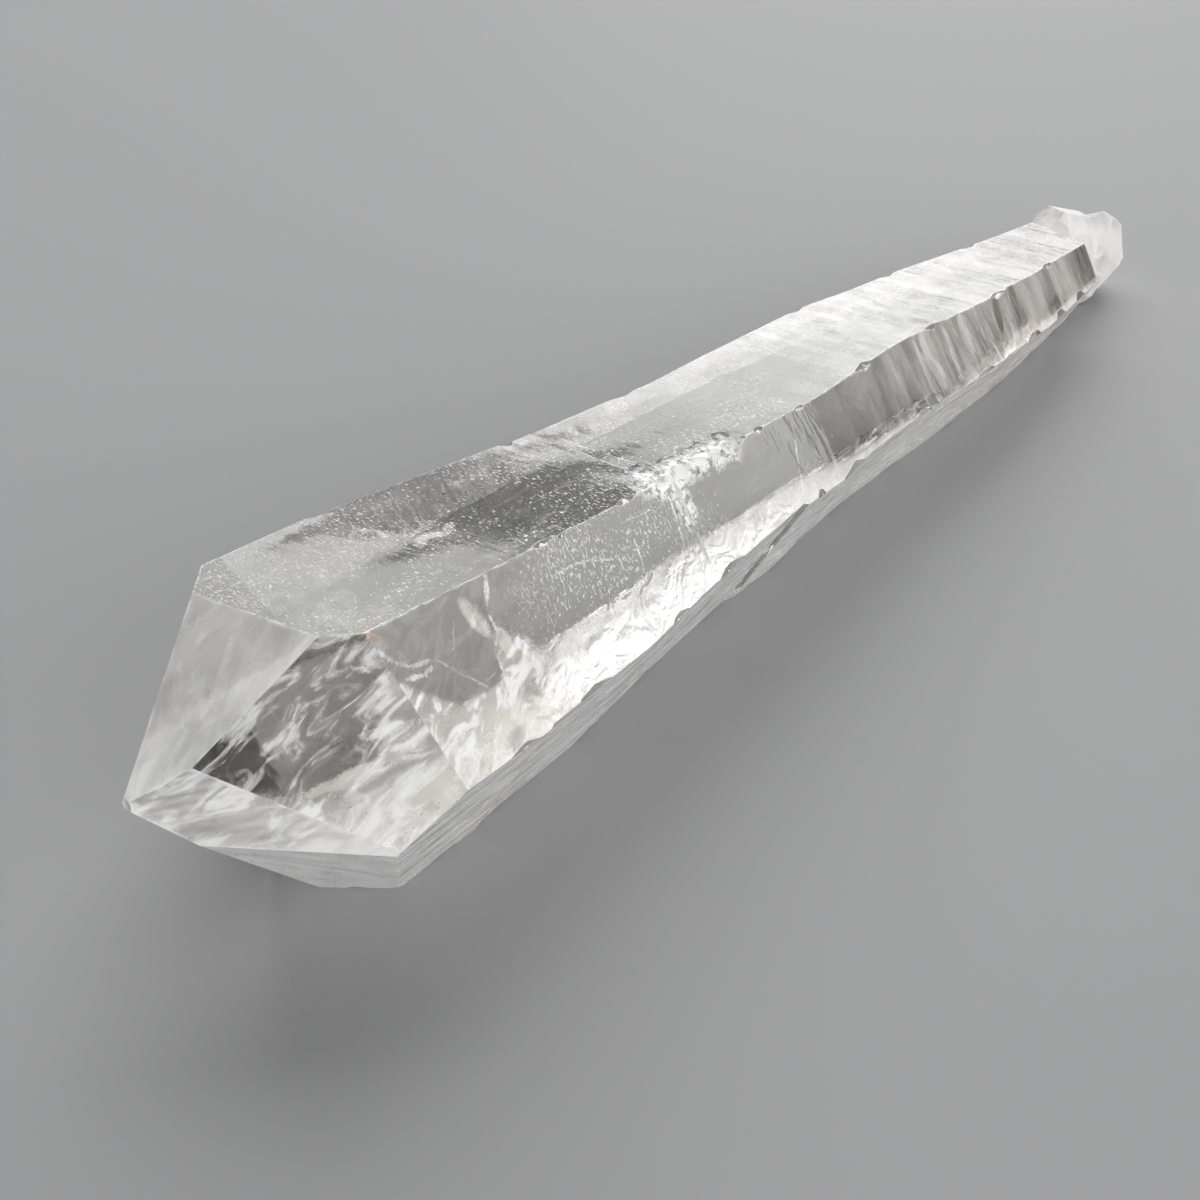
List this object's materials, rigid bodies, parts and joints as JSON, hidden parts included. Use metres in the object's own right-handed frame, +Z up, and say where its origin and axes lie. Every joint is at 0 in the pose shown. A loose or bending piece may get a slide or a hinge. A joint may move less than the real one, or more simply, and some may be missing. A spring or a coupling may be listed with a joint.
{
  "type": "double terminated quartz crystal",
  "caption": "Long clear quartz crystal that tapers from a large faceted point to a small rough capped point, lying on a flat prism face.",
  "frame": {"origin": "on the surface that the crystal rests on, under the middle of its box", "axes": "+X along the crystal from the large point to the small point, +Z up, +Y towards the side that the picture hides"},
  "size_m": [0.1232, 0.0242, 0.021],
  "materials": {
    "clear_quartz": "clear natural crystal with a glassy lustre, fine growth lines, milky veils and a frosted cap"
  },
  "bodies": {
    "root": {"quartz_crystal": "clear_quartz"}
  },
  "joints": []
}
